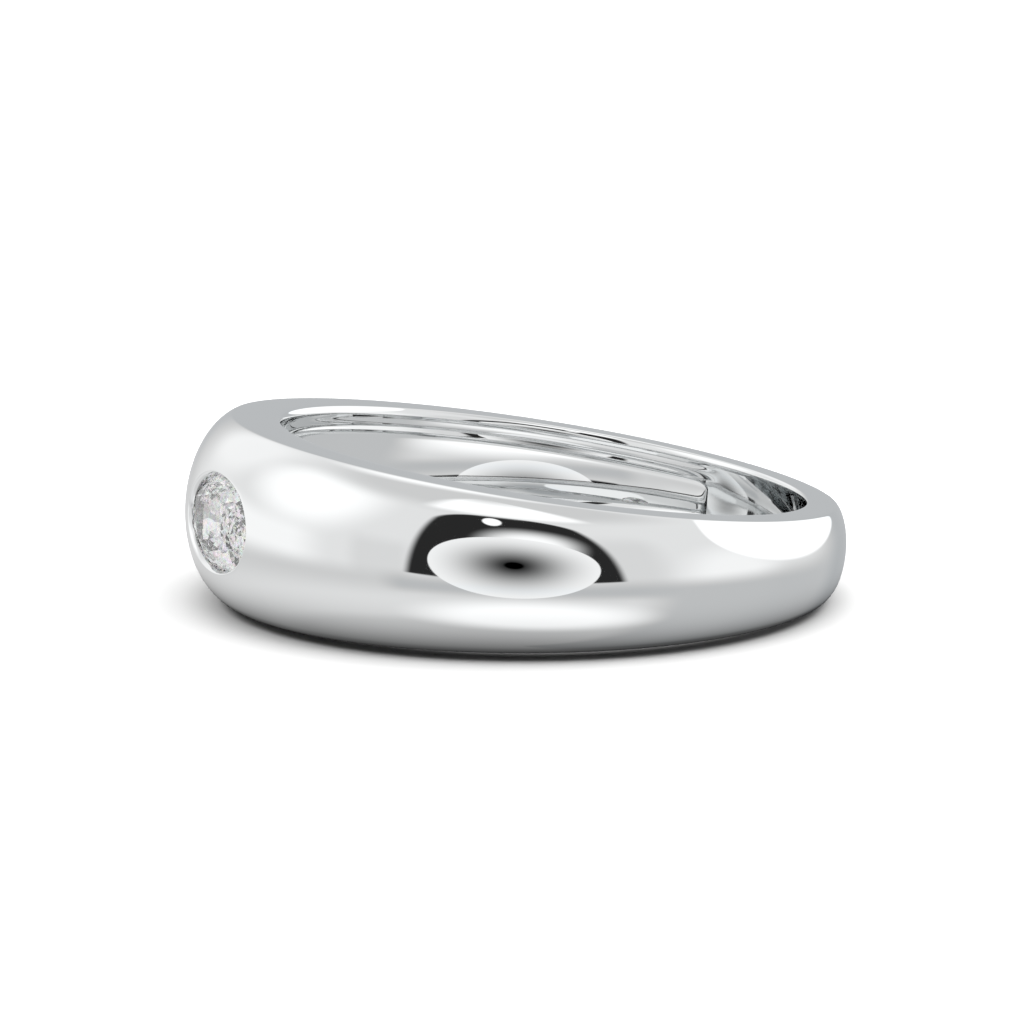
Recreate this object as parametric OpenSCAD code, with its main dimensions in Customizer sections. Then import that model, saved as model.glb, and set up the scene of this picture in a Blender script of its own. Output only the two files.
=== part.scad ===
// Flush set gypsy ring: a domed band that tapers to the back, hollowed inside, with one oval stone.
// Millimetres. The ring lies on one flat side face: +Z up, the stone faces -Y. The origin is
// under the middle of the ring's outline, on the surface that the ring lies on.

/* [Finger hole] */
// Diameter of the finger hole
bore_d = 17; // [16:0.1:20]

/* [Band] */
// Width across the side faces at the stone
head_w = 5.9; // [5.6:0.1:6.6]
// Width across the side faces at the back
back_w = 2.65; // [2.2:0.05:3.2]
// Thickness at the stone, from the finger hole to the crest
head_t = 2.95; // [2.75:0.05:3.35]
// Thickness at the back
back_t = 1.35; // [1.25:0.05:1.75]
// Width of a flat side face at the stone
head_face = 1.62; // [1.35:0.01:1.75]
// Width of a flat side face at the back
back_face = 0.97; // [0.75:0.01:1.05]
// Turn of the elliptic dome from its crest to a side face, in degrees
dome_turn = 72; // [60:1:80]
// Depth of the bevel at both rims of the finger hole
rim_h = 0.24; // [0.1:0.02:0.3]
// Width of that bevel on a side face
rim_w = 0.14; // [0.06:0.02:0.2]

/* [Hollow] */
// Width of the rail of finger hole beside each side face, bevel included
rail_w = 0.8; // [0.6:0.02:0.9]
// Depth of the hollow behind the stone
hollow_head = 1.2; // [1.1:0.05:1.3]
// Depth that the hollow's floor would have at the back
hollow_back = 0.25; // [0.18:0.01:0.32]
// How far the hollow reaches from the centre of the finger hole towards the back
hollow_reach = 7.55; // [6:0.05:8]
// Radius of the arc that the hollow's floor makes across the band
hollow_arc = 4.2; // [3.6:0.1:6]

/* [Stone] */
// Length of the oval stone, round the band
stone_l = 5.15; // [4.5:0.05:5.4]
// Width of the oval stone, across the band
stone_w = 3.25; // [3.1:0.05:3.5]
// Size of the table as a share of the stone
table_share = 0.58; // [0.5:0.01:0.65]
// Height of the crown, from girdle to table
crown_h = 0.48; // [0.4:0.01:0.55]
// Height of the girdle
girdle_h = 0.1; // [0.06:0.01:0.14]
// Depth of the pavilion, from girdle to culet
pavilion_h = 1.43; // [1.3:0.01:1.5]
// How far the table lies below the crest of the dome
table_drop = 0.12; // [0.05:0.01:0.15]

/* [Setting] */
// How far the metal lip reaches over the edge of the stone
lip = 0.11; // [0.08:0.01:0.2]
// Lean of the bright bevel round the stone, away from the stone's axis, in degrees
bevel_lean = 27; // [15:1:45]
// Clearance between stone and metal
seat_gap = 0.03; // [0.02:0.01:0.04]
// Width of the open hole under the stone
under_w = 1.4; // [1:0.1:1.8]

/* [Hidden] */

$fn = 96;
bore_r = bore_d / 2;
// Steps round the ring and across the dome
ring_steps = 120;
dome_steps = 18;
// Larger than any part of the ring
beyond = 30;

// The crest and the outer edge of a side face are circles, each set a little towards the stone
crest_r = bore_r + (head_t + back_t) / 2;
crest_off = (head_t - back_t) / 2;
edge_r = bore_r + (head_face + back_face) / 2;
edge_off = (head_face - back_face) / 2;

// The side faces are planes that part towards the stone: half width = mid_w - taper * y
taper = (head_w - back_w) / 2 / (2 * edge_r);
mid_w = head_w / 2 - taper * (edge_r + edge_off);
lie_tilt = atan(taper);
lie_shift = crest_off * cos(lie_tilt) - mid_w * sin(lie_tilt);

// The hollow's floor is a circle too
floor_r = bore_r + (hollow_head + hollow_back) / 2;
floor_off = (hollow_head - hollow_back) / 2;

// Heights on the stone's own axis, measured from the crest of the dome
crest_y = bore_r + head_t;
girdle_top = -table_drop - crown_h;
girdle_low = girdle_top - girdle_h;
culet_z = girdle_low - pavilion_h;

// The lip's underside follows the crown's slope, and the lip ends where its thin edge starts
half_w = stone_w / 2;
crown_slope = crown_h / (half_w * (1 - table_share));
lip_edge = 0.05;
lip_z = girdle_top + seat_gap + crown_slope * (lip + seat_gap) + lip_edge;

// Distance from the finger hole's axis to a circle set off towards the stone, at angle a from it
function ring_r(r, off, a) = off * cos(a) + sqrt(r * r - off * off * sin(a) * sin(a));

// A point of the dome at angle a round the ring, turned by t from the crest
function dome_point(a, t) =
    let (
        edge = ring_r(edge_r, edge_off, a),
        crest = ring_r(crest_r, crest_off, a),
        side = mid_w + taper * edge * cos(a),
        rise = (cos(t) - cos(dome_turn)) / (1 - cos(dome_turn)),
        r = edge + (crest - edge) * rise
    )
    [r * sin(a), -r * cos(a), side * sin(t) / sin(dome_turn)];

// The domed outside as a closed solid without its finger hole
module domed_blank() {
    row = dome_steps + 1;
    points = [
        for (i = [0 : ring_steps - 1], j = [0 : dome_steps])
            dome_point(i * 360 / ring_steps, dome_turn * (2 * j / dome_steps - 1))
    ];
    sides = [
        for (i = [0 : ring_steps - 1], j = [0 : dome_steps - 1])
            let (
                p = i * row + j,
                q = ((i + 1) % ring_steps) * row + j
            )
            each [[p, p + 1, q + 1], [p, q + 1, q]]
    ];
    low_face = [for (i = [0 : ring_steps - 1]) i * row];
    top_face = [for (i = [ring_steps - 1 : -1 : 0]) i * row + dome_steps];
    polyhedron(points, concat(sides, [low_face, top_face]));
}

// All space above the lower side face and further than margin from it
module above_low_face(margin) {
    rotate([lie_tilt, 0, 0])
        translate([-beyond, -beyond, margin - mid_w * cos(lie_tilt)])
            cube(2 * beyond);
}

// The hollow inside the band, between its two rails
module hollow() {
    inner_r = bore_r - 4 * floor_off;
    intersection() {
        translate([0, -floor_off, 0])
            rotate_extrude()
                intersection() {
                    translate([floor_r - hollow_arc, 0])
                        circle(hollow_arc);
                    translate([inner_r, -hollow_arc])
                        square(2 * hollow_arc);
                }
        above_low_face(rail_w);
        mirror([0, 0, 1])
            above_low_face(rail_w);
        translate([-beyond, hollow_reach - 2 * beyond, -beyond])
            cube(2 * beyond);
    }
}

// The bevels at the rims of the finger hole
module rims() {
    for (end = [0, 1])
        mirror([0, 0, end])
            translate([0, 0, mid_w])
                rotate([-lie_tilt, 0, 0])
                    translate([0, 0, -2 * rim_h])
                        cylinder(h = 3 * rim_h, r1 = bore_r - rim_w, r2 = bore_r + 2 * rim_w);
}

// Children stand on the crest at the stone, with their Z axis pointing out of the band
module at_crest() {
    translate([0, -crest_y, 0])
        rotate([90, 0, 0])
            children();
}

// An upright drum or cone with the stone's oval outline, from its half width at each end
module oval_cone(z, h, low, top) {
    translate([0, 0, z])
        scale([stone_l / stone_w, 1, 1])
            cylinder(h, low, top);
}

// The opening that the stone sits in: bevel, lip, groove for the girdle, bearing and open hole
module seat() {
    throat = half_w - lip;
    groove = half_w + seat_gap;
    under = under_w / 2;
    // Lengths past the band's surface, outwards and towards the finger, and an overlap between cuts
    above = 1;
    below = 1;
    overlap = 0.3;
    at_crest() {
        oval_cone(lip_z, above, throat, throat + above * tan(bevel_lean));
        oval_cone(girdle_top + seat_gap, lip_z - girdle_top, throat, throat);
        oval_cone(girdle_top + seat_gap, crown_slope * (lip + seat_gap), groove, throat);
        oval_cone(girdle_low - seat_gap, girdle_h + 2 * seat_gap, groove, groove);
        oval_cone(culet_z, pavilion_h, under, groove);
        oval_cone(culet_z - below, below + overlap, under, under);
    }
}

// Children lie on the lower side face, with the middle of the crest's circle over the origin
module lying() {
    translate([0, lie_shift, 0])
        rotate([-lie_tilt, 0, 0])
            translate([0, 0, mid_w])
                children();
}

module band() {
    color([0.82, 0.83, 0.84])
        lying()
            difference() {
                domed_blank();
                cylinder(h = 2 * beyond, r = bore_r, center = true);
                hollow();
                rims();
                seat();
            }
}

// A point of the stone at angle a, as a share of the oval's size there
function on_oval(share, a, z) = [share * stone_l / 2 * cos(a), share * half_w * sin(a), z];

// Oval brilliant: table, stars, kites and upper facets over lower facets and mains
module stone() {
    mains = 8;
    half = 180 / mains;
    star_share = 0.8;
    keel_share = 0.24;
    star_z = girdle_top + crown_h * (1 - star_share * cos(half)) / (1 - table_share);
    keel_z = girdle_low - pavilion_h * (1 - keel_share * cos(half));
    // Where each ring of points starts in the list
    table = 0;
    star = mains;
    upper = 2 * mains;
    lower = 4 * mains;
    keel = 6 * mains;
    culet = 7 * mains;
    points = [
        for (i = [0 : mains - 1]) on_oval(table_share, 2 * i * half, -table_drop),
        for (i = [0 : mains - 1]) on_oval(star_share, (2 * i + 1) * half, star_z),
        for (i = [0 : 2 * mains - 1]) on_oval(1, i * half, girdle_top),
        for (i = [0 : 2 * mains - 1]) on_oval(1, i * half, girdle_low),
        for (i = [0 : mains - 1]) on_oval(keel_share, (2 * i + 1) * half, keel_z),
        [0, 0, culet_z]
    ];
    faces = [
        [for (i = [mains - 1 : -1 : 0]) table + i],
        for (i = [0 : mains - 1])
            let (
                next = (i + 1) % mains,
                prev = (i + mains - 1) % mains,
                main = 2 * i,
                mid = main + 1,
                end = (main + 2) % (2 * mains)
            )
            each [
                [table + i, table + next, star + i],
                [table + i, star + i, upper + main, star + prev],
                [star + i, upper + mid, upper + main],
                [star + i, upper + end, upper + mid],
                [upper + main, upper + mid, lower + mid, lower + main],
                [upper + mid, upper + end, lower + end, lower + mid],
                [keel + i, lower + main, lower + mid],
                [keel + i, lower + mid, lower + end],
                [culet, keel + prev, lower + main, keel + i]
            ]
    ];
    color([0.93, 0.95, 0.98])
        lying()
            at_crest()
                polyhedron(points, faces);
}

band();
stone();
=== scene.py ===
"""The looks of the flush set gypsy ring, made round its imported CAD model.

Shapes are worked out in millimetres, in the ring's own frame: the Z axis is the finger hole's axis,
the stone faces -Y, and angle a runs round the band from 0 at the stone to 180 degrees at the back.
Height w runs along the axis from the middle of the band.
"""

import math

import bmesh
import bpy
import numpy as np
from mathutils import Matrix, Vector


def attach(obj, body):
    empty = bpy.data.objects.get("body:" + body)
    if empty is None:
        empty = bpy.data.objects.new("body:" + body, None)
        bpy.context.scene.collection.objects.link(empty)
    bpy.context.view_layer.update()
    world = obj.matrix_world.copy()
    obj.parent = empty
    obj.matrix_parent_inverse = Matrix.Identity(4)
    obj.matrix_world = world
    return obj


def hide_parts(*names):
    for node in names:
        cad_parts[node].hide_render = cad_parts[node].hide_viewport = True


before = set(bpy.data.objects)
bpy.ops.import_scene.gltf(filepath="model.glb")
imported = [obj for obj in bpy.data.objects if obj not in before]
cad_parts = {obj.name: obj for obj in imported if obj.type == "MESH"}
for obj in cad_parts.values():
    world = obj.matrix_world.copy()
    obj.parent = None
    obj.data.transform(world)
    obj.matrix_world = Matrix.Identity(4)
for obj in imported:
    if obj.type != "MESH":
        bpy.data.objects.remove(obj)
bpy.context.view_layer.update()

MM = 0.001
IN_DEGREES = math.degrees(1)

# Brightness of the studio, and how much brighter it lights the table than the metal mirrors it
STUDIO_LIGHT = 0.875
TABLE_LIGHT = 4.4

# Brightness of what the metal mirrors as pure white
WHITE = 1.5

# Gap between the table and the ring, which shows as the photo's thin dark line under the ring: the
# table there lies in real shadow and in painted shade
TABLE_GAP = 0.28

# The table top: its radius, how pale it is, and how much painted shade darkens it beneath the metal
TABLE_RADIUS = 600
TABLE_PALE = 0.35
TABLE_PAINTED_SHADE = 0.24

# Sizes of the band and the stone, as in the part's source
BORE_R = 8.5
HEAD_W = 5.9
BACK_W = 2.65
HEAD_T = 2.95
BACK_T = 1.35
HEAD_FACE = 1.62
BACK_FACE = 0.97
DOME_TURN = math.radians(72)
RAIL_W = 0.8
HOLLOW_HEAD = 1.2
HOLLOW_BACK = 0.25
HOLLOW_REACH = 7.55
HOLLOW_ARC = 4.2
STONE_L = 5.15
STONE_W = 3.25
TABLE_SHARE = 0.58
STAR_SHARE = 0.8
CROWN_H = 0.48
GIRDLE_H = 0.1
PAVILION_H = 1.43
TABLE_DROP = 0.12
LIP = 0.11
LIP_EDGE = 0.05
BEVEL_LEAN = math.radians(27)
SEAT_GAP = 0.03
UNDER_W = 1.4

CREST_R = BORE_R + (HEAD_T + BACK_T) / 2
CREST_OFF = (HEAD_T - BACK_T) / 2
EDGE_R = BORE_R + (HEAD_FACE + BACK_FACE) / 2
EDGE_OFF = (HEAD_FACE - BACK_FACE) / 2
TAPER = (HEAD_W - BACK_W) / 2 / (2 * EDGE_R)
MID_W = HEAD_W / 2 - TAPER * (EDGE_R + EDGE_OFF)
LIE_TILT = math.atan(TAPER)
LIE_SHIFT = CREST_OFF * math.cos(LIE_TILT) - MID_W * math.sin(LIE_TILT)
FLOOR_R = BORE_R + (HOLLOW_HEAD + HOLLOW_BACK) / 2
FLOOR_OFF = (HOLLOW_HEAD - HOLLOW_BACK) / 2
CREST_Y = BORE_R + HEAD_T
OVAL = STONE_L / STONE_W

# Heights of the seat on the stone's axis, from the crest of the dome
GIRDLE_TOP = -TABLE_DROP - CROWN_H
GIRDLE_LOW = GIRDLE_TOP - GIRDLE_H
CULET_Z = GIRDLE_LOW - PAVILION_H
CROWN_SLOPE = CROWN_H / (STONE_W / 2 * (1 - TABLE_SHARE))
UNDERCUT = CROWN_SLOPE * (LIP + SEAT_GAP)
LIP_Z = GIRDLE_TOP + SEAT_GAP + UNDERCUT + LIP_EDGE
THROAT = STONE_W / 2 - LIP
GROOVE = STONE_W / 2 + SEAT_GAP
UNDER = UNDER_W / 2

# Rounding of edges and corners, where the CAD model has sharp ones or plain bevels. The rounding of
# the finger hole's rims reaches further into the side face halfway between stone and back
EDGE_ROUND = 0.06
RIM_DROP = 0.24
RIM_REACH = 0.1
RIM_REACH_MORE = 0.08
CORNER_R = 0.32
FLOOR_FILLET = 0.25

# The fillet takes at most this share of the hollow's depth, which is nowhere less than the least
# depth. A point of the mesh this near the hollow's edge counts as lying on it
FILLET_SHARE = 0.8
LEAST_DEPTH = 0.02
ON_EDGE = 1e-4

# Shallow coves in the inside: round each rail, and across the back behind the hollow. The first
# turn into the second between two places on the Y axis
COVE_AT = 0.55
COVE_HALF = 0.19
COVE_DEPTH = 0.024
BACK_COVE = 0.03
BACK_FROM = 6.6
BACK_TO = 7.8

# Over most of the hollow the mesh's columns keep mostly to planes square to Y on their way down to
# its floor. They turn to these between the first two places on the Y axis, and back between the last
PLANE_SHARE = 0.75
TO_PLANES = (2, 6.5)
FROM_PLANES = (6.65, HOLLOW_REACH)

# Points closer together than this are welded
WELD = 0.0002

# Rows this far from the lip's edges keep their shading crisp
CREASE = 0.01

# Rounds after which a point that is found step by step no longer moves
ROUNDS = 40


def ring_r(r, off, a):
    """Distance from the finger hole's axis to a circle that is set off towards the stone."""
    return off * np.cos(a) + np.sqrt(r**2 - (off * np.sin(a)) ** 2)


def at(a, r, w):
    """Points at angle a, distance r from the axis and height w along it."""
    a, r, w = np.broadcast_arrays(a, r, w)
    return np.stack([r * np.sin(a), -r * np.cos(a), w], -1)


def side_w(a, r):
    """Height of the upper side face above the middle of the band."""
    return MID_W + TAPER * r * np.cos(a)


def rail_end(a):
    """Height at which the upper rail ends and the hollow starts."""
    return side_w(a, BORE_R) - RAIL_W / math.cos(LIE_TILT)


def floor_arc(w):
    """Radius of the circle that the hollow's curved floor follows at height w."""
    return FLOOR_R - HOLLOW_ARC + np.sqrt(HOLLOW_ARC**2 - w**2)


def dome(a, t):
    """Points of the domed outside, turned by t from its crest."""
    edge = ring_r(EDGE_R, EDGE_OFF, a)
    crest = ring_r(CREST_R, CREST_OFF, a)
    rise = (np.cos(t) - math.cos(DOME_TURN)) / (1 - math.cos(DOME_TURN))
    return at(a, edge + (crest - edge) * rise, side_w(a, edge) * np.sin(t) / math.sin(DOME_TURN))


def smooth(x, low, high):
    """Smooth step from 0 at low to 1 at high."""
    s = np.clip((x - low) / (high - low), 0, 1)
    return s * s * (3 - 2 * s)


def rim_reach(a):
    """How far the rounding of the finger hole's rim reaches into the side face."""
    return RIM_REACH + RIM_REACH_MORE * np.sin(a) ** 2


def cove(a, w):
    """Depth of the shallow coves in the rails and the back."""
    from_face = side_w(a, BORE_R) - np.abs(w)
    back = smooth(-BORE_R * np.cos(a), BACK_FROM, BACK_TO)
    in_rail = COVE_DEPTH * np.maximum(1 - ((from_face - COVE_AT) / COVE_HALF) ** 2, 0)
    in_back = BACK_COVE * np.maximum(1 - (w / (side_w(a, BORE_R) - RIM_DROP)) ** 2, 0)
    return in_rail * (1 - back) + in_back * back


def inside(a, w):
    """Points of the inside: finger hole, rails and the hollow with its rounded corners."""
    a, w = np.broadcast_arrays(a, w)
    y = -BORE_R * np.cos(a)
    from_end = HOLLOW_REACH - y
    from_rail = rail_end(a) - np.abs(w)
    corner = CORNER_R - np.hypot(CORNER_R - from_end, CORNER_R - from_rail)
    in_corner = (from_end < CORNER_R) & (from_rail < CORNER_R)
    reach = np.where(in_corner, corner, np.minimum(from_end, from_rail))
    depth = np.maximum(ring_r(floor_arc(w), FLOOR_OFF, a) - BORE_R, LEAST_DEPTH)
    fillet = np.minimum(FLOOR_FILLET, FILLET_SHARE * depth)
    bend = np.clip(1 - reach / FLOOR_FILLET, 0, 1)
    sunk = depth - fillet + fillet * np.sqrt(1 - bend**2)
    r = BORE_R + (np.where(reach > ON_EDGE, sunk, 0) + cove(a, w))
    radial = at(a, r, w)
    in_plane = radial.copy()
    in_plane[..., 0] = np.sign(np.sin(a)) * np.sqrt(np.maximum(r**2 - y**2, 0.01))
    in_plane[..., 1] = y
    share = PLANE_SHARE * smooth(y, *TO_PLANES) * (1 - smooth(y, *FROM_PLANES))
    return radial + share[..., None] * (in_plane - radial)


def bend_round(before, corner, after, steps):
    """Rows of points that round the corner between two rows."""
    s = np.linspace(0, 1, steps + 1)[:, None, None]
    return list((1 - s) ** 2 * before + 2 * s * (1 - s) * corner + s**2 * after)


# Columns of the band's mesh: close ones at both end walls of the hollow, past a wall and before it,
# and one a degree where it keeps clear of those
PAST_WALL = np.array([-0.1, -0.04, -0.01])
FINE = np.array([0, 0.01, 0.03, 0.06, 0.1, 0.15, 0.21, 0.28, 0.36])
end_walls = np.arccos(-(HOLLOW_REACH - np.concatenate([PAST_WALL, FINE])) / BORE_R)
every_degree = np.radians(np.arange(-179, 181))
from_stone = np.abs(every_degree)
clear_of_walls = (from_stone < end_walls.min() - 0.01) | (from_stone > end_walls.max() + 0.005)
columns = np.sort(np.concatenate([every_degree[clear_of_walls], end_walls, -end_walls]))

# Rows across the dome, as shares of its turn, and rows across the inside from a rail to the middle
DOME_HALF = 32
dome_rows = np.arange(-DOME_HALF, DOME_HALF + 1) / DOME_HALF
MIDDLE_ROWS = 10

# Rows down a rail, as distances from the side face, with one pair close to the edge of its cove
RAIL_ROWS = [0.28, 0.32, 0.355, 0.365, *np.linspace(0.4, 0.72, 9), 0.74, 0.77]

# Windows in the mesh, as rows and columns from their middle to their rim: one round the seat, and
# one round the open hole under the stone
SEAT_WINDOW = (20, 17)
HOLE_WINDOW = (7, 12)

# Rings of the mesh from such a window's rim to the opening, as shares of the way left
TO_SEAT = np.array([1, 0.84, 0.68, 0.53, 0.4, 0.28, 0.18, 0.1, 0.05, 0])[:, None]
TO_HOLE = np.array([1, 0.75, 0.5, 0.25, 0.08])[:, None]


def dome_turn_at(a):
    """Turn at which the dome's rows stop, so that the edge's rounding has its room."""
    edge = ring_r(EDGE_R, EDGE_OFF, a)
    fall = (ring_r(CREST_R, CREST_OFF, a) - edge) * math.sin(DOME_TURN) / (1 - math.cos(DOME_TURN))
    spread = side_w(a, edge) / math.tan(DOME_TURN)
    return DOME_TURN - EDGE_ROUND / np.hypot(fall, spread)


def inside_heights(a):
    """Heights of the rows across the inside, for its upper half, from the rail to the middle."""
    fine = rail_end(a) - FINE[:, None]
    middle = fine[-1] * (1 - np.arange(1, MIDDLE_ROWS + 1) / MIDDLE_ROWS)[:, None]
    return np.concatenate([fine, middle])


def upper_face_rows(a):
    """Rows from the dome's edge over the upper side face to the end of the rail."""
    edge = ring_r(EDGE_R, EDGE_OFF, a)
    corner, flat = [at(a, r, side_w(a, r)) for r in (edge, edge - EDGE_ROUND)]
    rows = bend_round(dome(a, dome_turn_at(a)), corner, flat, 4)[1:]
    rim = BORE_R + rim_reach(a)
    for share in (0.25, 0.5, 0.75):
        r = edge - EDGE_ROUND + (rim - edge + EDGE_ROUND) * share
        rows.append(at(a, r, side_w(a, r)))
    for turn in np.radians(np.arange(0, 91, 10)):
        r = BORE_R + rim_reach(a) * (1 - math.sin(turn))
        rows.append(at(a, r, side_w(a, r) - RIM_DROP * (1 - math.cos(turn))))
    for drop in RAIL_ROWS:
        w = side_w(a, BORE_R) - drop
        rows.append(at(a, BORE_R + cove(a, w), w))
    return rows


def mirrored(rows):
    """The same rows on the other side of the band's middle."""
    return [row * [1, 1, -1] for row in rows]


class Sheet:
    """Gathers vertices and faces of one mesh."""

    def __init__(self):
        self.points = []
        self.faces = []
        self.count = 0

    def grid(self, rows, skip=None):
        """Adds quads between closed rows of points, but none where skip(row, column) is true."""
        rows = np.asarray(rows)
        n_rows, n_cols = rows.shape[:2]
        start = self.count
        self.points.append(rows.reshape(-1, 3))
        self.count += n_rows * n_cols
        for i in range(n_rows - 1):
            for j in range(n_cols):
                if skip and skip(i, j):
                    continue
                k = (j + 1) % n_cols
                low = start + i * n_cols
                self.faces.append((low + j, low + k, low + n_cols + k, low + n_cols + j))

    def mesh(self, name):
        """The mesh in metres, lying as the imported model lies."""
        points = np.concatenate(self.points) + [0, 0, MID_W]
        c, s = math.cos(LIE_TILT), math.sin(LIE_TILT)
        x, y, z = points.T
        lying = np.stack([x, c * y + s * z + LIE_SHIFT, c * z - s * y], -1)
        data = bpy.data.meshes.new(name)
        data.from_pydata((lying * MM).tolist(), [], self.faces)
        return data


def window(row, column, size):
    """The places round the rim of a window in a grid, in order, and a test for quads inside it."""
    i0, i1 = row - size[0], row + size[0]
    j0, j1 = column - size[1], column + size[1]
    low = [(i0, j) for j in range(j0, j1)]
    right = [(i, j1) for i in range(i0, i1)]
    high = [(i1, j) for j in range(j1, j0, -1)]
    left = [(i, j0) for i in range(i1, i0, -1)]
    rim = tuple(np.array(low + right + high + left).T)
    return rim, lambda i, j: i0 <= i < i1 and j0 <= j < j1


def on_dome(x, w):
    """Angle and turn of the dome's point that has this x and height."""
    a, t = x * 0, x * 0
    for _ in range(ROUNDS):
        edge = ring_r(EDGE_R, EDGE_OFF, a)
        point = dome(a, t)
        a = np.arcsin(np.clip(x / np.hypot(point[..., 0], point[..., 1]), -0.9, 0.9))
        t = np.arcsin(np.clip(w * math.sin(DOME_TURN) / side_w(a, edge), -0.95, 0.95))
    return a, t


def oval(half_w, theta, z):
    """Points of an oval of the seat, z above the crest of the dome."""
    x = OVAL * half_w * np.cos(theta)
    return np.stack(np.broadcast_arrays(x, -CREST_Y - z, half_w * np.sin(theta)), -1)


def oval_theta(points):
    """Where on such an oval each point lies, seen along the stone's axis."""
    return np.arctan2(points[:, 2] / STONE_W, points[:, 0] / STONE_L)


def make_band():
    """The band's sheet, and the two rings of points in its inside that are still to be joined."""
    sheet = Sheet()
    zero = int(np.argmin(np.abs(columns)))

    # The dome with a window round the seat, both side faces and the rails
    turns = dome_rows[:, None] * dome_turn_at(columns)
    angles = np.broadcast_to(columns, turns.shape)
    face = upper_face_rows(columns)
    rim, within = window(DOME_HALF, zero, SEAT_WINDOW)
    loop = mirrored(face)[::-1] + list(dome(angles, turns)) + face
    sheet.grid(loop, lambda i, j: within(i - len(face), j))

    # From the dome down to the seat's bevel and lip
    rim_a, rim_t = angles[rim], turns[rim]
    theta = oval_theta(dome(rim_a, rim_t))
    half_w = np.full_like(theta, THROAT)
    for _ in range(ROUNDS):
        a, t = on_dome(OVAL * half_w * np.cos(theta), half_w * np.sin(theta))
        height = -dome(a, t)[:, 1] - CREST_Y
        half_w = THROAT + np.maximum(height - LIP_Z, 0.005) * math.tan(BEVEL_LEAN)
    rings = list(dome(a + (rim_a - a) * TO_SEAT, t + (rim_t - t) * TO_SEAT))
    corner = rings.pop()
    rings += bend_round(rings[-1], corner, oval(THROAT, theta, LIP_Z), 10)[1:-1]
    under_lip = GIRDLE_TOP + SEAT_GAP + UNDERCUT
    for radius, z in (
        (THROAT, LIP_Z),
        (THROAT, LIP_Z - CREASE),
        (THROAT, under_lip + CREASE),
        (THROAT, under_lip),
        (GROOVE, GIRDLE_TOP + SEAT_GAP),
        (GROOVE, GIRDLE_LOW),
    ):
        rings.append(oval(radius, theta, z))

    # The bearing cone goes on to the hollow's floor
    cone = (GROOVE - UNDER) / PAVILION_H
    hole_r = np.full_like(theta, UNDER)
    for _ in range(ROUNDS):
        x = OVAL * hole_r * np.cos(theta)
        hole_w = hole_r * np.sin(theta)
        arc = floor_arc(hole_w)
        hole_a = np.arcsin(x / ring_r(arc, FLOOR_OFF, np.arcsin(x / FLOOR_R)))
        z = ring_r(arc, FLOOR_OFF, hole_a) * np.cos(hole_a) - CREST_Y
        hole_r = UNDER + (z - CULET_Z) * cone
    seam = inside(hole_a, hole_w)
    rings.append(oval((GROOVE + hole_r) / 2, theta, (GIRDLE_LOW + z) / 2))
    rings.append(seam)
    sheet.grid(rings)

    # The inside, with a window round that hole
    half = inside_heights(columns)
    heights = np.concatenate([half, -half[-2::-1]])
    angles = np.broadcast_to(columns, heights.shape)
    rim, within = window(len(half) - 1, zero, HOLE_WINDOW)
    rows = [face[-1], *inside(angles, heights), *mirrored([face[-1]])]
    sheet.grid(rows, lambda i, j: within(i - 1, j))
    rim_a, rim_w = angles[rim], heights[rim]
    rim_theta = oval_theta(inside(rim_a, rim_w))
    order = np.argsort(theta)
    a, w = (
        np.interp(rim_theta, theta[order], hole[order], period=2 * math.pi)
        for hole in (hole_a, hole_w)
    )
    fan = inside(a + (rim_a - a) * TO_HOLE, w + (rim_w - w) * TO_HOLE)
    sheet.grid(fan)
    return sheet, fan[-1], seam


def by_angle(ring):
    """A ring's points in order round the stone's axis, and their angles."""
    turn = np.arctan2(ring[:, 2], ring[:, 0])
    order = np.argsort(turn)
    return ring[order], turn[order]


def bridge(sheet, inner_ring, seam):
    """Joins two rings of different counts with triangles, walking round both by angle."""
    ring_a, turn_a = by_angle(inner_ring)
    ring_b, turn_b = by_angle(seam)
    start = sheet.count
    sheet.points += [ring_a, ring_b]
    n_a, n_b = len(ring_a), len(ring_b)
    sheet.count += n_a + n_b
    i = j = 0
    while i < n_a or j < n_b:
        next_a = turn_a[i + 1] if i + 1 < n_a else turn_a[0] + 2 * math.pi
        next_b = turn_b[j + 1] if j + 1 < n_b else turn_b[0] + 2 * math.pi
        p, q = start + i % n_a, start + n_a + j % n_b
        if j >= n_b or (i < n_a and next_a <= next_b):
            sheet.faces.append((p, start + (i + 1) % n_a, q))
            i += 1
        else:
            sheet.faces.append((p, start + n_a + (j + 1) % n_b, q))
            j += 1


def add_object(name, data):
    """An object with this data, in the scene."""
    obj = bpy.data.objects.new(name, data)
    bpy.context.scene.collection.objects.link(obj)
    return obj


def finished_object(sheet, name, sharp_from):
    """An object with the sheet's mesh, welded, facing outwards and smooth up to an angle."""
    data = sheet.mesh(name)
    bm = bmesh.new()
    bm.from_mesh(data)
    bmesh.ops.remove_doubles(bm, verts=bm.verts, dist=WELD * MM)
    bmesh.ops.recalc_face_normals(bm, faces=bm.faces)
    bm.to_mesh(data)
    bm.free()
    data.shade_smooth()
    data.set_sharp_from_angle(angle=math.radians(sharp_from))
    return add_object(name, data)


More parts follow.
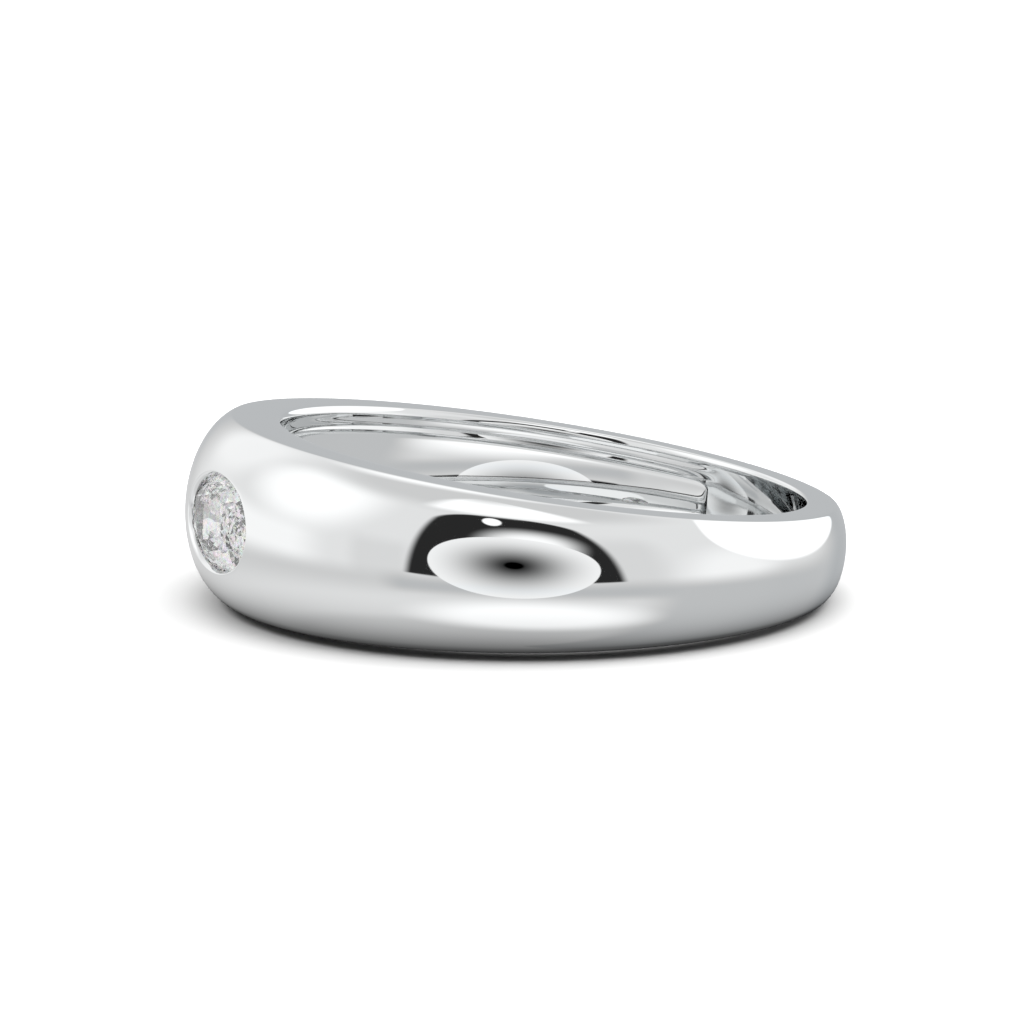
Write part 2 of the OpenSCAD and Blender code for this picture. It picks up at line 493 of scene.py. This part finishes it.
def make_stone():
    """Oval brilliant: the crown's facets over a pavilion that is cut into many small ones."""
    mains = 8
    halves = 2 * mains
    quarters = 4 * mains
    faces = []

    def ring(count, share, z, offset=0.0, dips=(0,)):
        """Points of an oval, turned by part of a step and drawn in by each of the dips in turn."""
        turn = (np.arange(count) + offset) * 2 * math.pi / count
        share = share * (1 - np.resize(dips, count))
        x = share * STONE_L / 2 * np.cos(turn)
        return np.stack([x, np.full(count, -CREST_Y - z), share * STONE_W / 2 * np.sin(turn)], -1)

    def same_count(high, low, count, forwards):
        """Facets between rings of one count, where the lower lies half a step forwards or back."""
        for i in range(count):
            k = (i + 1) % count
            if forwards:
                faces.extend([(high + i, high + k, low + i), (low + i, high + k, low + k)])
            else:
                faces.extend([(high + i, high + k, low + k), (high + i, low + k, low + i)])

    def half_count(high, low, count):
        """Facets from a ring down to one with half as many points, which are count."""
        for i in range(count):
            first = high + 2 * i
            last = high + (2 * i + 2) % (2 * count)
            faces.append((first, first + 1, low + i))
            faces.append((first + 1, last, low + i))
            faces.append((low + i, last, low + (i + 1) % count))

    star_z = GIRDLE_TOP + CROWN_H * (1 - STAR_SHARE * math.cos(math.pi / mains)) / (1 - TABLE_SHARE)
    rings = [
        ring(mains, TABLE_SHARE, -TABLE_DROP),
        ring(mains, STAR_SHARE, star_z, 0.5),
        ring(quarters, 1, GIRDLE_TOP),
        ring(quarters, 1, GIRDLE_LOW),
    ]
    # Tiers of the pavilion: count, share of the stone, part of a step, and dips
    for count, share, offset, dips in (
        (quarters, 0.84, 0.5, (0, 0.02)),
        (quarters, 0.68, 0, (0, 0.03)),
        (halves, 0.5, 0.5, (0, 0.04)),
        (halves, 0.34, 0, (0, 0.05)),
        (mains, 0.16, 0.25, (0,)),
    ):
        rings.append(ring(count, share, GIRDLE_LOW - PAVILION_H * (1 - share), offset, dips))
    rings.append(ring(1, 0, CULET_Z))
    starts = np.cumsum([0] + [len(r) for r in rings])[:-1]
    table, star, upper, lower, tier_1, tier_2, tier_3, tier_4, keel, culet = starts.tolist()

    faces.append(tuple(range(table, table + mains)))
    for i in range(mains):
        after, before = (i + 1) % mains, (i - 1) % mains
        girdle = [upper + (4 * i + k) % quarters for k in range(5)]
        faces.append((table + i, table + after, star + i))
        faces.append((table + i, star + i, girdle[0], star + before))
        faces += [(star + i, girdle[k], girdle[k + 1]) for k in range(4)]
        faces.append((keel + i, keel + after, culet))
    for i in range(quarters):
        k = (i + 1) % quarters
        faces.append((upper + i, upper + k, lower + k, lower + i))
    same_count(lower, tier_1, quarters, True)
    same_count(tier_1, tier_2, quarters, False)
    half_count(tier_2, tier_3, halves)
    same_count(tier_3, tier_4, halves, False)
    half_count(tier_4, keel, mains)

    sheet = Sheet()
    sheet.points = rings
    sheet.faces = faces
    return sheet


class Field:
    """A value that shader nodes work out, so that a formula can be written as one."""

    def __init__(self, tree, socket):
        self.tree = tree
        self.socket = socket

    def to(self, socket):
        """Feeds the value into a node's socket."""
        self.tree.links.new(self.socket, socket)

    def math(self, operation, *others):
        """What the Math node makes of this field and other fields or numbers."""
        node = self.tree.nodes.new("ShaderNodeMath")
        node.operation = operation
        for slot, value in zip(node.inputs, (self, *others)):
            if isinstance(value, Field):
                value.to(slot)
            else:
                slot.default_value = value
        return Field(self.tree, node.outputs[0])

    def __add__(self, other):
        return self.math("ADD", other)

    def __sub__(self, other):
        return self.math("SUBTRACT", other)

    def __mul__(self, other):
        return self.math("MULTIPLY", other)

    def __truediv__(self, other):
        return self.math("DIVIDE", other)

    def __pow__(self, other):
        return self.math("POWER", other)

    def ramp(self, low, high, at_low=0.0, at_high=1.0, kind="SMOOTHSTEP"):
        """Goes from at_low, up to low, to at_high, from high on."""
        node = self.tree.nodes.new("ShaderNodeMapRange")
        node.interpolation_type = kind
        self.to(node.inputs["Value"])
        ends = {"From Min": low, "From Max": high, "To Min": at_low, "To Max": at_high}
        for label, value in ends.items():
            node.inputs[label].default_value = value
        return Field(self.tree, node.outputs[0])

    def fade(self, low, high):
        """1 up to low, and 0 from high on."""
        return self.ramp(low, high, 1, 0)

    def band(self, low, high, soft):
        """1 between low and high, with edges that are soft wide."""
        half = soft / 2
        return self.ramp(low - half, low + half) * self.fade(high - half, high + half)

    def over(self, value, mask):
        """This field where the mask is 0, and the value where it is 1."""
        if isinstance(value, Field):
            return self + (value - self) * mask
        return self + (self * -1 + value) * mask

    def nearing_one(self):
        """0 where the field is 0, and ever closer to 1 as it grows: 1 - exp(-field)."""
        return (self * -1).math("EXPONENT") * -1 + 1


def direction(azimuth, elevation):
    """Unit vector to a place in the studio: azimuth 0 is -Y and 90 is +X."""
    az, el = math.radians(azimuth), math.radians(elevation)
    return (math.sin(az) * math.cos(el), -math.cos(az) * math.cos(el), math.sin(el))


def dot(tree, vector, fixed):
    """Dot product of a node's vector and a fixed one."""
    node = tree.nodes.new("ShaderNodeVectorMath")
    node.operation = "DOT_PRODUCT"
    tree.links.new(vector, node.inputs[0])
    node.inputs[1].default_value = fixed
    return Field(tree, node.outputs["Value"])


def azimuth_of(x, y):
    """Azimuth of a place in degrees, counted as in direction()."""
    return x.math("ARCTAN2", y * -1) * IN_DEGREES


def mixed(tree, share, first, second):
    """Output of a shader that is the first where the share is 0, and the second where it is 1."""
    mix = tree.nodes.new("ShaderNodeMixShader")
    for slot, socket in zip(mix.inputs, (share, first.outputs[0], second.outputs[0])):
        tree.links.new(socket, slot)
    return mix.outputs[0]


def make_studio():
    """The surroundings that the polished metal mirrors, as light from far away."""
    world = bpy.data.worlds.new("studio")
    bpy.context.scene.world = world
    world.use_nodes = True
    # The lights are wide, so rays find them by themselves, and the render takes less time
    world.cycles.sampling_method = "NONE"
    tree = world.node_tree
    tree.nodes.clear()
    ray = tree.nodes.new("ShaderNodeTexCoord").outputs["Generated"]

    def away_from(azimuth, elevation):
        """Degrees between a ray and the way to a place."""
        return dot(tree, ray, direction(azimuth, elevation)).math("ARCCOSINE") * IN_DEGREES

    x, y, z = (dot(tree, ray, axis) for axis in ((1, 0, 0), (0, 1, 0), (0, 0, 1)))
    azimuth = azimuth_of(x, y)
    elevation = z.math("ARCSINE") * IN_DEGREES

    def facing(azimuth):
        """Places on the plane square to an azimuth: whether ahead, how far right and how far up."""
        ahead = dot(tree, ray, direction(azimuth, 0))
        distance = ahead.math("MAXIMUM", 0.01)
        right = dot(tree, ray, direction(azimuth + 90, 0)) / distance
        return ahead.ramp(0.01, 0.02), right, z / distance

    def from_oval(across, up, half_w, half_h):
        """Distance from the middle of an oval on such a plane: 1 on its outline."""
        return ((across / half_w) ** 2 + (up / half_h) ** 2).math("SQRT")

    # Pale walls with brighter and duller patches
    walls = elevation.ramp(48, 68, 1.08, 0.86)
    walls = walls.over(1.27, away_from(-76, 27).fade(10, 26))
    walls = walls.over(0.63, away_from(-122, -5).fade(15, 48))
    walls = walls.over(0.97, azimuth.band(9, 30, 8) * elevation.fade(8, 20))
    walls = walls.over(0.96, azimuth.band(98, 122, 14) * elevation.fade(22, 42))
    walls = walls.over(1.33, azimuth.band(-62, -8, 20) * elevation.band(-12, 9, 10))
    walls = walls.over(1.3, away_from(150, -4).fade(8, 30))
    walls = walls.over(1.47, away_from(-20, 36).fade(13, 34) * elevation.fade(46, 62))
    walls = walls.over(1.45, away_from(-106, 64).fade(6, 20))

    # Pale ground, darker on the right and behind, with a white patch in front
    ground = elevation.ramp(-29, -14, 1.03, 0.86) - elevation.ramp(-50, -40, 0.13, 0)
    ground = ground.over(0.7, azimuth.band(22, 178, 12) * elevation.ramp(-24, -16))
    ground = ground.over(0.73, azimuth.ramp(108, 132))
    ground = ground.over(0.72, azimuth.ramp(160, 180).math("MAXIMUM", azimuth.fade(-150, -120)))
    ground = ground.over(0.6, away_from(-128, -13).fade(10, 28))
    ground = ground.over(WHITE, from_oval(azimuth - 73, elevation + 41, 43, 14.5).fade(0.55, 1.4))
    surroundings = walls.over(ground, elevation.fade(-15, -3))

    # White oval behind on the right
    ahead, across, up = facing(190)
    back_oval = from_oval(across, up - 0.51, half_w=0.87, half_h=0.6)
    light = surroundings.over(WHITE, back_oval.fade(0.97, 1.03) * ahead)

    # Dark arched opening where the camera stands: half width at its foot, height, corners and the
    # lean of its sides
    arch_half_w, arch_top, arch_corner_r, arch_lean = 0.765, 0.97, 0.4, 0.15
    ahead, across, up = facing(67.7)
    beside = across.math("ABSOLUTE") + up * arch_lean + (arch_corner_r - arch_half_w)
    above = (up - 0.5).math("MAXIMUM", 0) + (arch_corner_r - arch_top)
    outward = (beside.math("MAXIMUM", 0) ** 2 + above.math("MAXIMUM", 0) ** 2).math("SQRT")
    edge = outward + beside.math("MAXIMUM", above).math("MINIMUM", 0) - arch_corner_r
    light = light.over(0.03, edge.fade(-0.05, 0.05) * up.ramp(-0.17, -0.14) * ahead)

    # In it a glow, the round light with its dark middle, and a small lamp above
    light = light.over(1.43, away_from(74.7, 22).fade(8.5, 22.5))
    off_axis = from_oval(across, up - 0.09, half_w=0.585, half_h=0.5)
    round_light = ((off_axis / 0.6) ** 2).nearing_one() * 1.36 * off_axis.ramp(0.08, 0.12)
    light = light.over(round_light, off_axis.fade(0.98, 1.0) * ahead)
    lamp = from_oval(across + 0.096, up - 1.13, half_w=0.08, half_h=0.2)
    light = light.over(WHITE, lamp.fade(0.85, 1.1) * ahead)

    # Wide light overhead
    overhead = elevation.ramp(76, 90, WHITE, 0.84, "LINEAR")
    light = light.over(overhead, azimuth.band(29, 115, 14) * elevation.ramp(53, 60))

    # What is dull is a little blue. The table is lit more from above and from the camera's side
    seen = tree.nodes.new("ShaderNodeBackground")
    cool = tree.nodes.new("ShaderNodeCombineColor")
    for channel, where_dull in (("Red", 0.967), ("Green", 1), ("Blue", 1.028)):
        (light * surroundings.ramp(0.55, 0.85, where_dull, 1)).to(cool.inputs[channel])
    tree.links.new(cool.outputs[0], seen.inputs["Color"])
    path = tree.nodes.new("ShaderNodeLightPath")
    on_table = Field(tree, path.outputs["Is Diffuse Ray"])
    table_light = dot(tree, ray, direction(100, 0)) * 0.35 + z * 0.8 + 0.55
    brighter = on_table * (table_light * TABLE_LIGHT - 1) + 1
    (brighter * STUDIO_LIGHT).to(seen.inputs["Strength"])

    # The camera itself sees plain white
    plain = tree.nodes.new("ShaderNodeBackground")
    plain.inputs["Color"].default_value = (1, 1, 1, 1)
    output = tree.nodes.new("ShaderNodeOutputWorld")
    surface = mixed(tree, path.outputs["Is Camera Ray"], seen, plain)
    tree.links.new(surface, output.inputs["Surface"])


def new_material(name):
    """A material with its node tree and its Principled shader."""
    material = bpy.data.materials.new(name)
    material.use_nodes = True
    return material, material.node_tree, material.node_tree.nodes["Principled BSDF"]


def make_floor():
    """A pale table top that takes the ring's shadow, and has painted shade beneath the ring.

    To the metal's reflections it is clear, and only tints them with a painted shadow round the
    ring. So the metal mirrors the studio's own ground with that painted shadow on it.
    """
    turns = np.radians(np.arange(0, 360, 5))
    rim = np.stack([np.cos(turns), np.sin(turns), turns * 0], -1) * TABLE_RADIUS * MM
    data = bpy.data.meshes.new("floor")
    data.from_pydata(rim.tolist(), [], [list(range(len(rim)))])
    floor = add_object("floor", data)
    floor.location.z = -TABLE_GAP * MM
    material, tree, shader = new_material("pale_table_with_painted_shadow")
    shader.inputs["Roughness"].default_value = 1
    shader.inputs["Specular IOR Level"].default_value = 0

    # Distance outwards from the outer edge of the side face that the ring lies on
    place = tree.nodes.new("ShaderNodeTexCoord").outputs["Object"]
    x, y = (dot(tree, place, axis) for axis in ((1 / MM, 0, 0), (0, 1 / MM, 0)))
    outwards = (x**2 + (y - LIE_SHIFT + EDGE_OFF) ** 2).math("SQRT") - EDGE_R

    # Painted shade: the table's colour is darker right beneath the metal
    painted_shade_under_ring = outwards.ramp(-2.2, -1.8) * outwards.fade(-0.4, 0.1)
    (painted_shade_under_ring * -TABLE_PAINTED_SHADE + TABLE_PALE).to(shader.inputs["Base Color"])

    # Painted shadow in the reflections: dark at the ring, and wider by the stone than by the back
    azimuth = azimuth_of(x, y)
    from_edge = (outwards - 0.1).math("MAXIMUM", 0)
    painted_lit_by_stone = ((from_edge / 1.3) ** 1.2).nearing_one()
    painted_lit_by_back = (from_edge / 0.75).nearing_one()
    by_back = azimuth.ramp(60, 112).math("MAXIMUM", azimuth.fade(-170, -120))
    painted_shadow_tint = outwards.ramp(-0.3, 0.3, 0.03, 0.22).over(1, painted_lit_by_stone.over(painted_lit_by_back, by_back))
    painted_shadow_tint = painted_shadow_tint.over(1, outwards.fade(-1, -0.9))
    clear = tree.nodes.new("ShaderNodeBsdfTransparent")
    painted_shadow_tint.to(clear.inputs["Color"])
    mirrored_ray = tree.nodes.new("ShaderNodeLightPath").outputs["Is Glossy Ray"]
    surface = mixed(tree, mirrored_ray, shader, clear)
    tree.links.new(surface, tree.nodes["Material Output"].inputs["Surface"])
    floor.data.materials.append(material)


def noise(tree, scale, detail):
    """Soft noise over an object, with this many waves to the metre."""
    place = tree.nodes.new("ShaderNodeTexCoord").outputs["Object"]
    node = tree.nodes.new("ShaderNodeTexNoise")
    node.inputs["Scale"].default_value = scale
    node.inputs["Detail"].default_value = detail
    tree.links.new(place, node.inputs["Vector"])
    return Field(tree, node.outputs["Fac"])


def white_gold():
    """Mirror polished white gold, with the faint waves and haze that hand polishing leaves."""
    material, tree, shader = new_material("polished_white_gold")
    shader.inputs["Base Color"].default_value = (0.79, 0.8, 0.803, 1)
    shader.inputs["Metallic"].default_value = 1
    noise(tree, 900, 4).ramp(0.3, 0.7, 0.012, 0.035).to(shader.inputs["Roughness"])
    bump = tree.nodes.new("ShaderNodeBump")
    bump.inputs["Strength"].default_value = 0.25
    bump.inputs["Distance"].default_value = 0.004 * MM
    noise(tree, 450, 1).to(bump.inputs["Height"])
    tree.links.new(bump.outputs[0], shader.inputs["Normal"])
    return material


def clear_stone():
    """A clear stone with strong refraction, and a fine play of faint colours."""
    material, tree, shader = new_material("clear_stone")
    shader.inputs["Transmission Weight"].default_value = 1
    shader.inputs["IOR"].default_value = 2.4
    mix = tree.nodes.new("ShaderNodeCombineColor")
    for channel, scale in (("Red", 5200), ("Green", 6100), ("Blue", 7000)):
        noise(tree, scale, 2).ramp(0.34, 0.66, 0.6, 0.82).to(mix.inputs[channel])
    tree.links.new(mix.outputs[0], shader.inputs["Base Color"])
    noise(tree, 2000, 2).ramp(0.3, 0.7, 0.0, 0.02).to(shader.inputs["Roughness"])
    return material


def make_camera():
    """A long lens, as in the photo, aimed so that the ring falls where it does there."""
    azimuth, elevation = 67.7, 11.64
    distance = 494
    # Width of the picture at that distance
    frame_width = 32.93
    # The ring's middle, and how far the camera aims to its left and below it
    middle = Vector((0, LIE_SHIFT + 0.176, 3.046))
    aside, below = 0.861, 0.531
    back = Vector(direction(azimuth, elevation))
    right = Vector(direction(azimuth + 90, 0))
    aim = middle - aside * right - below * back.cross(right)
    camera = add_object("camera", bpy.data.cameras.new("camera"))
    camera.data.lens = camera.data.sensor_width * distance / frame_width
    camera.location = (aim + back * distance) * MM
    camera.rotation_mode = "QUATERNION"
    camera.rotation_quaternion = (-back).to_track_quat("-Z", "Y")
    bpy.context.scene.camera = camera


make_camera()
make_studio()
make_floor()
scene = bpy.context.scene
scene.view_settings.view_transform = "Standard"
scene.cycles.caustics_reflective = False
scene.cycles.glossy_bounces = 12

band_sheet, fan_end, hole_seam = make_band()
bridge(band_sheet, fan_end, hole_seam)
band = finished_object(band_sheet, "ring_band", 50)
band.data.materials.append(white_gold())
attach(band, "root")
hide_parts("band")

stone = finished_object(make_stone(), "oval_stone", 0)
stone.data.materials.append(clear_stone())
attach(stone, "root")
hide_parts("stone")
